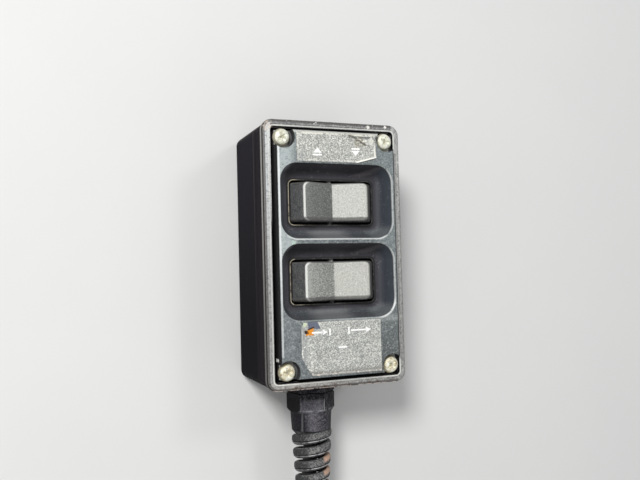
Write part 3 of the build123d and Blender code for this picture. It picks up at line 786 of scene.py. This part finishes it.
def polar(radius, angle, centre=(0, 0)):
    return centre[0] + radius * cos(angle), centre[1] + radius * sin(angle)


def circle(radius, count, centre=(0, 0), wave=None, share=0):
    """Points round a centre. `wave` gives what an angle adds to the radius, as a share of it."""
    angles = [tau * step / count for step in range(count)]
    return [polar(radius * (1 + share * wave(angle) if wave else 1), angle, centre) for angle in angles]


def from_height(height, *points):
    """(radius, rise) pairs as the (radius, height) pairs of a profile; a third number stays."""
    return [(radius, height + rise, *share) for radius, rise, *share in points]


def upright_lathe(centre, profile, count, wave=None):
    """A turned solid from (radius, height) pairs; a third number scales how much `wave` shows."""
    return loft([[(*point, height) for point in circle(radius, count, centre, wave, *share)]
                 for radius, height, *share in profile])


def prism(points, *levels):
    """A skin over copies of a flat outline on the front, one at each y."""
    return loft([[(x, y, z) for x, z in points] for y in levels])


def rounded_loop(corners, steps=8):
    """A closed outline, given anticlockwise as (x, y, rounding) corners, as points with their outward normals."""
    loop = []
    for index, (x, y, rounding) in enumerate(corners):
        here = Vector((x, y))
        before = (Vector(corners[index - 1][:2]) - here).normalized()
        after = (Vector(corners[(index + 1) % len(corners)][:2]) - here).normalized()
        half = before.angle(after) / 2
        middle = here + (before + after).normalized() * rounding / sin(half)
        first, last = [here + way * rounding / tan(half) - middle for way in (before, after)]
        start = atan2(first.y, first.x)
        turn = (atan2(last.y, last.x) - start + pi) % tau - pi
        outwards = 1 if before.y * after.x - before.x * after.y > 0 else -1
        for step in range(steps + 1):
            arm = Vector(polar(1, start + turn * step / steps))
            loop.append((middle + arm * rounding, arm * outwards))
    return loop


def rounded_outline(half, corner, steps, centre=(0, 0)):
    corners = [(centre[0] + x * half[0], centre[1] + z * half[1], corner)
               for x, z in ((1, 1), (-1, 1), (-1, -1), (1, -1))]
    return [tuple(point) for point, _ in rounded_loop(corners, steps)]


def add_rocker(name, centre, finish):
    """A paddle with a hollow between two crests, rounded all round, over its keel and pin."""
    rings = []
    for level in [-level for level in PADDLE_LEVELS[:0:-1]] + PADDLE_LEVELS:
        inset, drawn_in = [rounding - sqrt(rounding ** 2 - max(0, abs(level) - ROCKER_HALF_HEIGHT + rounding) ** 2)
                           for rounding in (ROCKER_ROUNDING, PADDLE_CORNER)]
        crest = CREST - drawn_in
        profile = [(-20, 6.7, 1.4), (-20, 4.3, 2), (-crest, -2.3, 2), (0, 3, 3), (crest, -2.3, 2), (20, 4.3, 2),
                   (20, 6.7, 1.4), (4.5, 9.3, 1.4), (-4.5, 9.3, 1.4)]
        rings.append([(point.x - normal.x * inset, RIM_FRONT + point.y - normal.y * inset, centre + level)
                      for point, normal in rounded_loop(profile)])
    pin_profile = from_height(centre, (1.2, -10.75), (1.5, -10.45), (1.5, 10.45), (1.2, 10.75))
    pin = upright_lathe((0, PIN_Y), pin_profile, 24)
    add_piece("rocker_paddle_" + name, *join(loft(rings), pin), "rocker_plastic", finish, ["rocker_" + name],
              body=name + "_rocker")


def spiral_radius(height):
    share = (SPIRAL_TOP - height) / SPIRAL_LENGTH
    return SPIRAL_TOP_RADIUS + (SPIRAL_END_RADIUS - SPIRAL_TOP_RADIUS) * share


def solid_object(name, vertices, faces):
    """A closed mesh for a Boolean, with its faces outwards."""
    mesh = new_mesh(name, vertices, faces)
    work = bmesh.new()
    work.from_mesh(mesh)
    bmesh.ops.remove_doubles(work, verts=work.verts, dist=0.002 * MM)
    bmesh.ops.triangulate(work, faces=[face for face in work.faces if len(face.verts) > 4])
    bmesh.ops.recalc_face_normals(work, faces=work.faces)
    if work.calc_volume(signed=True) < 0:
        bmesh.ops.reverse_faces(work, faces=work.faces)
    work.to_mesh(mesh)
    work.free()
    return add_object(name, mesh)


def helix_cutter(name, section, lifted=0, overrun=0, steps_per_turn=40):
    """A closed sweep along the spiral's slot, or along a line `lifted` above it that runs on by `overrun` turns."""
    rings = []
    steps = round((SPIRAL_TURNS + overrun) * steps_per_turn)
    taper = 0.07 * steps_per_turn
    for step in range(steps + 1):
        turns = step / steps_per_turn
        closing = min(1, (step + 0.35) / taper, (steps - step + 0.35) / taper)
        height = SPIRAL_TOP - SPIRAL_LEAD_IN - SPIRAL_PITCH * turns + lifted
        radius, angle = spiral_radius(height), radians(SPIRAL_START) - tau * turns
        rings.append([(*polar(radius + out, angle, GLAND), height + up * closing) for out, up in section])
    return solid_object(name, *loft(rings))


def add_spiral(finish):
    """The strain relief: a sleeve cut by a helical slot with rolled edges and by a groove that sets off a lip."""
    end = SPIRAL_TOP - SPIRAL_LENGTH
    outer = [(SPIRAL_TOP_RADIUS - inset, height)
             for inset, height in from_height(SPIRAL_TOP, (0.8, 0), (0.8, -0.3), (0.25, -0.55), (0, -1))]
    heights = [SPIRAL_TOP - SPIRAL_LENGTH * row / 64 for row in range(2, 64)]
    outer += [(spiral_radius(height), height) for height in heights]
    outer += [(SPIRAL_END_RADIUS - 0.12, end + 0.18), (SPIRAL_END_RADIUS - 0.5, end)]
    inner = [(spiral_radius(height) - SPIRAL_WALL, height) for _, height in outer[::-1]]
    inner[0] = (SPIRAL_END_RADIUS - SPIRAL_WALL + 0.4, end)
    rings = [[(*point, height) for point in circle(radius, 96, GLAND)] for radius, height in outer + inner]
    sleeve = solid_object("sleeve", *loft(rings + [rings[0]], closed_ends=False))
    half = SPIRAL_SLOT / 2
    upper = [(-4, half)] + [(out, half + up) for out, up in
                            ((-1.3, 0), (-0.8, 0.1), (-0.4, 0.35), (-0.1, 0.75), (0.1, 1.2), (1.5, 1.9))]
    slot = [(out, -up) for out, up in upper] + upper[::-1]
    groove = [(-0.5, -0.08), (-0.3, -0.22), (0.9, -0.42), (0.9, 0.42), (-0.3, 0.22), (-0.5, 0.08)]
    cutters = [helix_cutter("slot_cutter", slot),
               helix_cutter("groove_cutter", groove, lifted=LIP_HEIGHT + half, overrun=0.55)]
    for cutter in cutters:
        cut = sleeve.modifiers.new(cutter.name, "BOOLEAN")
        cut.operation = "DIFFERENCE"
        cut.solver = "EXACT"
        cut.object = cutter
    mesh = bpy.data.meshes.new_from_object(sleeve.evaluated_get(bpy.context.evaluated_depsgraph_get()))
    for thing in (sleeve, *cutters):
        bpy.data.objects.remove(thing)
    for vertex in mesh.vertices:
        place = vertex.co / MM
        across, deep = place.x - GLAND_X, place.y - GLAND_Y
        distance = hypot(across, deep)
        if distance < spiral_radius(place.z) - 0.9 or place.z > SPIRAL_TOP - 0.4:
            continue
        turns = atan2(deep, across) / tau - SPIRAL_START / 360
        phase = ((SPIRAL_TOP - place.z - SPIRAL_LEAD_IN) / SPIRAL_PITCH + turns) % 1
        swell = SPIRAL_SWELL * sin(pi * phase) ** 2
        vertex.co.x += MM * swell * across / distance
        vertex.co.y += MM * swell * deep / distance
    place_mesh("strain_relief_spiral", mesh, "black_nylon", finish, ["gland_spiral"])


def screw_head_mesh(centre, turn, count=72):
    """A domed head with a cross recess: rings about the screw's axis, pressed in along the cross."""
    rings = []
    for radius, drop in HEAD_PROFILE:
        ring = []
        for angle in [tau * step / count for step in range(count)]:
            side, along = sorted(abs(part) for part in polar(radius, angle))
            half_slot = 0.5 + 0.12 * max(0, 1 - along / 2.2)
            wall = clamp((half_slot - side) / 0.16 + 0.5) * clamp((RECESS_REACH - along) / 0.25)
            x, z = polar(radius, angle + turn, centre)
            ring.append((x, HEAD_FRONT + drop + wall * (1.35 - 0.42 * along), z))
        rings.append(ring)
    return loft(rings)


def add_screws():
    """Domed heads over the part's screws, each turned as it was left and corroded."""
    for node, degrees in SCREW_TURNS.items():
        _, high, middle = box_mm(node)
        centre = (middle.x, middle.z)
        shank = prism(circle(SHANK_RADIUS, 24, centre), HEAD_BASE - 0.1, high.y)
        add_piece("screw_head_" + node[-1], *join(screw_head_mesh(centre, radians(degrees)), shank), "zinc",
                  screw_finish(node, brassy=middle.z < 0), [node])


def label_mesh(low, high, left, right, lift, rows=26, columns=60):
    """A film between two heights whose ends are left(z) and right(z), raised off the plate by lift(x, z)."""
    rings = []
    for z in [low + (high - low) * row / rows for row in range(rows + 1)]:
        places = [left(z) + (right(z) - left(z)) * column / columns for column in range(columns + 1)]
        front = [(x, PLATE_FRONT - LABEL_THICKNESS - lift(x, z), z) for x in places]
        back = [(x, PLATE_FRONT - lift(x, z) * 0.9 + 0.01, z) for x in places]
        rings.append(front + back[::-1])
    return loft(rings)


def add_labels():
    ragged = [rng.uniform(-0.35, 0.35) for _ in range(64)]

    def jag(z):
        share = (z * 3.1) % 63
        index = int(share)
        return ragged[index] + (ragged[index + 1] - ragged[index]) * (share - index)

    def upper_right(z):
        share = min(1, (z - UPPER_LABEL[0]) / 2.5)
        return 10.2 + 9.3 * share + jag(z) * (1 - share)

    def upper_lift(x, z):
        corner = max(0, x - 9) * max(0, 45.6 - z)
        tear = exp(-((x - 12.5) / 4) ** 2 - ((z - 51) / 1.1) ** 2)
        return min(0.55, 0.022 * corner) + 0.16 * tear

    def lower_left(z):
        if z < -46:
            return -LABEL_HALF + 5.2 * (-46 - z) / 7.8 + jag(z) * 1.6
        if z > -32.9:
            return -LABEL_HALF + 1.1 * (z + 32.9) / 2.6 + jag(z) * 0.5
        return -LABEL_HALF

    def lower_lift(x, z):
        return 0.3 * exp(-((x + 17.5) / 2.2) ** 2 - ((z + 31) / 2.2) ** 2)

    upper = label_finish("upper_label_film", 0xB1B2AC, 0x82837F, upper_label_layers)
    lower = label_finish("lower_label_film", 0xB0B1AD, 0x848683, lower_label_layers)
    add_piece("upper_label_film", *label_mesh(*UPPER_LABEL, lambda z: -LABEL_HALF, upper_right, upper_lift),
              "label_film", upper, ["label_upper"])
    add_piece("lower_label_film", *label_mesh(*LOWER_LABEL, lower_left, lambda z: LABEL_HALF, lower_lift),
              "label_film", lower, ["label_lower"])


def add_marks():
    """Plain printed arrows: platform up and down, platform in and out."""
    s = Surface("print_white", specular=0.3)
    wear = s.noise(0.6, 3, 0.65)
    s.colour(0xFAFAF8, (wear.ramp(0.42, 0.3), 0xCECEC8))
    s.roughness(0.6, (wear, 0.7))

    def bar(x, z, width, height):
        return rounded_outline((width / 2, height / 2), min(width, height) * 0.2, 3, (x, z))

    def arrow_head(x, z, width, height, tip):
        corners = [(-1, -1), (1, -1), (0, 1)] if tip == "up" else [(-1, -1), (-1, 1), (1, 0)]
        return [(x + across * width / 2, z + rise * height / 2) for across, rise in corners]

    outlines = [
        arrow_head(-9.5, 46, 4.2, 2.3, "up"), bar(-9.5, 43.95, 4.2, 0.75),
        arrow_head(9.2, 45.2, 4.2, -2.3, "up"), bar(9.2, 47.25, 4.2, 0.75),
        bar(-11.7, -34.9, 5.4, 0.75), arrow_head(-8.1, -34.9, 2.4, 2.5, "right"), bar(-5.8, -34.9, 0.75, 3.2),
        bar(3.4, -34.7, 0.75, 3.2), bar(8.2, -34.7, 7.6, 0.75), arrow_head(13.1, -34.7, 2.6, 2.5, "right"),
        bar(0.2, -41.9, 4.2, 0.8),
    ]
    film_front = PLATE_FRONT - LABEL_THICKNESS
    parts = [prism(points, film_front + 0.02, film_front - 0.05) for points in outlines]
    add_piece("printed_arrows", *join(*parts), "label_film", s, smooth=False)


def add_back_strip():
    """Mated hook-and-loop tape: two layers, with the loops swelling at the joint between them."""
    low, high, _ = box_mm("back_pad")
    half = ((high.x - low.x) / 2, (high.z - low.z) / 2)
    corners = rounded_outline([side - 0.15 for side in half], 3, 10)
    outline = []
    for first, second in zip(corners, corners[1:] + corners[:1]):
        pieces = max(1, round(dist(first, second) / 1.4))
        for step in range(pieces):
            jitter = rng.uniform(-0.12, 0.12)
            outline.append([start + (end - start) * step / pieces + jitter for start, end in zip(first, second)])
    spans = [(min(parts), max(parts)) for parts in zip(*outline)]
    (mid_x, half_x), (mid_z, half_z) = [((least + most) / 2, (most - least) / 2) for least, most in spans]
    front, back = low.y, high.y
    levels = [(front, 0.5), (front + 0.12, 0.12), (front + 0.8, 0.1), (front + 1.05, 0.55), (front + 1.18, 0.75),
              (front + 1.32, 0.75), (front + 1.45, 0.5), (back - 0.8, 0.1), (back - 0.12, 0.12), (back, 0.5)]
    rings = [[(mid_x + (x - mid_x) * (1 - inset / half_x), y, mid_z + (z - mid_z) * (1 - inset / half_z))
              for x, z in outline] for y, inset in levels]
    add_piece("hook_and_loop_strip", *loft(rings), "pad_fabric", woven_finish("loop_tape", 0.9), ["back_pad"])


def add_tie():
    """A hook-and-loop strap round the wound lead, wrapped one and a quarter times."""
    tie, coil = [box_mm(node)[2] for node in ("cord_tie", "cord_coil")]
    outwards = Vector((tie.x - coil.x, 0, tie.z - coil.z)).normalized()
    along = Vector((-outwards.z, 0, outwards.x))
    depthwise = Vector((0, 1, 0))
    origin = coil + outwards * COIL_RADIUS
    loop = rounded_outline((7.35, 10.85), 3.6, 10)
    section = [(-1, 0.15), (-0.94, 0), (0.94, 0), (1, 0.15), (1, 0.65), (0.94, 0.8), (-0.94, 0.8), (-1, 0.65)]
    steps = round(len(loop) * TIE_TURNS)
    rings = []
    for step in range(steps + 1):
        x, z = loop[(step + 6) % len(loop)]
        layer = 0.05 + 0.95 * clamp((step / len(loop) - 0.9) / 0.12)
        length = hypot(x, z)
        normal = outwards * (x / length) + depthwise * (z / length)
        base = origin + outwards * x + depthwise * z + normal * layer
        tip = sin(pi / 2 * (steps - step + 0.8) / 5.8) if step > steps - 5 else 1
        rings.append([base + along * (side * TIE_HALF_WIDTH * tip) + normal * rise for side, rise in section])
    return add_piece("tie_strap", *loft(rings), "pad_fabric", woven_finish("strap_weave", 0.55), ["cord_tie"])


def add_plug(finish):
    """The connector at the far end: a ribbed boot, a knurled coupling ring and a shell with four pins."""
    low, high, middle = box_mm("plug")
    centre = (middle.x, middle.y)
    top, bottom = high.z, low.z
    ring_top = top - 12
    collar_top = ring_top - 13.8
    boot = from_height(top, (3.6, 0), (4.9, -0.1), (5.2, -0.5))
    for rib in range(4):
        rib_points = from_height(top - 1.6 - rib * 2.3, (5.45, 0), (5.75, -0.25), (5.75, -1.2), (5.35, -1.45),
                                 (5.35, -2.1))
        boot += [(radius + rib * 0.22, height) for radius, height in rib_points]
    boot += from_height(ring_top, (6.3, 0.8), (6.4, 0.05), (3, 0))
    ring = from_height(ring_top, (4, 0.02, 0), (6.9, 0, 0), (7.2, -0.3, 0.4), (7.35, -0.8, 1), (7.35, -12.8, 1),
                       (7.2, -13.4, 0.4), (6.8, -13.8, 0), (4, -13.85, 0))
    shell = (from_height(collar_top, (6, 0.2), (6.6, 0), (6.6, -1.4), (7.1, -1.7), (7.35, -2.1)) +
             from_height(bottom, (7.35, 0.3), (7.1, 0), (6.3, 0), (6.15, 0.25), (6.15, 4.2), (0, 4.2)))
    knurl = upright_lathe(centre, ring, 156, lambda angle: -0.045 * (0.5 - 0.5 * cos(26 * angle)) ** 0.6)
    parts = [upright_lathe(centre, boot, 40), knurl, upright_lathe(centre, shell, 64)]
    add_piece("connector_shell", *join(*parts), "black_nylon", finish, ["plug"])
    pin = from_height(bottom, (0, 4.3), (0.75, 4.3), (0.75, 1.4), (0.6, 1.1), (0, 0.9))
    pins = [upright_lathe(polar(3.3, radians(degrees), centre), pin, 16) for degrees in (45, 135, 225, 315)]
    s = Surface("pin_brass", metallic=1)
    s.colour(0xCEB068, (s.noise(0.8).ramp(0.5, 0.7) * 0.5, 0xA0844E))
    s.roughness(0.3, (s.noise(0.5), 0.42))
    return add_piece("connector_pins", *join(*pins), "zinc", s)


def coil_points(centre):
    """Turns of the wound lead. Each row starts a turn: across the bundle, and into it, in cord radii and diameters."""
    rows = [(1, 1), (-1, 1), (-1, 0), (-1, -1), (1, -1), (1, 0), (3, 0)]
    bulges = [0.37, 0, 0, -0.37, 0, 0.37]
    # A NURBS of order 3 cuts inside its points, so they stand out by that much
    outwards = 3 / (1 + 2 * cos(pi / POINTS_PER_TURN) ** 2)
    points = []
    for (across, depth), (next_across, next_depth), bulge in zip(rows, rows[1:], bulges):
        for share in [step / POINTS_PER_TURN for step in range(POINTS_PER_TURN)]:
            radius = (COIL_RADIUS + CORD_RADIUS * (across + (next_across - across) * share)) * outwards
            level = depth + (next_depth - depth) * share + bulge * sin(pi * share)
            x, z = polar(radius, pi + tau * share, (centre[0], centre[2]))
            points.append((x, centre[1] + 2 * CORD_RADIUS * level, z))
    return points


def add_cord(finish):
    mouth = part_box("gland_nut")[0].z / MM
    side, drop = LEAD_POINTS[-1]
    centre = (GLAND_X + side + COIL_RADIUS + CORD_RADIUS, GLAND_Y - 2 * CORD_RADIUS, mouth - drop)
    route = [(*GLAND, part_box("cord_lead")[1].z / MM)]
    route += [(GLAND_X + side, GLAND_Y, mouth - drop) for side, drop in LEAD_POINTS[:-1]]
    route += coil_points(centre)
    route += [(centre[0] + side, centre[1], centre[2] + height) for side, height in TAIL_POINTS]
    curve = bpy.data.curves.new("cord", "CURVE")
    curve.dimensions = "3D"
    curve.bevel_depth = CORD_RADIUS * MM
    curve.bevel_resolution = 5
    curve.resolution_u = 6
    spline = curve.splines.new("NURBS")
    spline.points.add(len(route) - 1)
    for point, place in zip(spline.points, route):
        point.co = (*[part * MM for part in place], 1)
    spline.order_u = 3
    spline.use_endpoint_u = True
    cord = add_object("cord", curve)
    finish.put_on(cord)
    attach(cord, BODY)
    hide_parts("cord_lead", "cord_coil", "cord_tail")


def background_rays(tree):
    """1 for the rays that see the pale background: the camera's, and those that gloss and glass send on."""
    camera, glossy, clear = [Value(tree, "LightPath", output="Is %s Ray" % ray)
                             for ray in ("Camera", "Glossy", "Transmission")]
    return camera.most(glossy).most(clear)


def stage_finish(name):
    s = Surface(name, specular=0.2)
    s.colour(0xE2E2E0, (s.noise(60, 2).ramp(0.3, 0.7) * 0.3, 0xDDDDDC))
    s.roughness(0.9, (s.noise(3), 0.95))
    return s


def add_stage():
    """A pale floor and a pale wall. The wall is seen only from its front, and neither lights nor shades the object."""
    wall = stage_finish("pale_wall")
    facing = Value(wall.tree, "NewGeometry", output="Backfacing")
    mask = background_rays(wall.tree) * (1 - facing)
    mix = Value(wall.tree, "MixShader", {0: mask, 1: Value(wall.tree, "BsdfTransparent"), 2: wall.shader.outputs[0]})
    connect(mix, wall.tree.nodes["Material Output"].inputs[0])
    square = [(x * STAGE_REACH, y * STAGE_REACH) for x, y in ((-1, -1), (1, -1), (1, 1), (-1, 1))]
    for name, finish, corners in (
            ("stage_floor", stage_finish("pale_stage"), [(x, y, FLOOR_Z) for x, y in square]),
            ("stage_wall", wall, [(x, WALL_Y, max(z, FLOOR_Z)) for x, z in square])):
        sheet = add_object(name, new_mesh(name, corners, [(0, 1, 2, 3)]))
        finish.put_on(sheet)


def add_world():
    world = bpy.data.worlds.new("world")
    world.use_nodes = True
    tree = world.node_tree
    ambient = tree.nodes["Background"]
    connect(tone(0xE8EAEE), ambient.inputs["Color"])
    connect(AMBIENT_STRENGTH, ambient.inputs["Strength"])
    backdrop = Value(tree, "Background", {"Color": tone(0xE8E9EA), "Strength": 1})
    mix = Value(tree, "MixShader", {0: background_rays(tree), 1: ambient.outputs[0], 2: backdrop})
    connect(mix, tree.nodes["World Output"].inputs[0])
    bpy.context.scene.world = world


add_camera()
add_stage()
add_world()
for lamp in LAMPS:
    add_lamp(*lamp)

rubber = rubber_finish("cord_jacket")
nylon = nylon_finish("gland_nylon", nodes["gland_body"], nodes["gland_nut"])
rubber.put_on(nodes["gland_seal"])
housing_finish()
plate_finish()
for switch_name, switch_z in zip(("upper", "lower"), WELL_CENTRES):
    add_rocker(switch_name, switch_z, rocker_finish("rocker_" + switch_name, switch_z, *ROCKER_TONES[switch_name]))
    switch_frame_finish("switch_frame_" + switch_name, switch_z)
add_screws()
add_labels()
add_marks()
add_spiral(spiral_finish())
add_back_strip()
strap = add_tie()
pins = add_plug(nylon)
add_cord(rubber)

bpy.context.scene.view_settings.view_transform = "Standard"
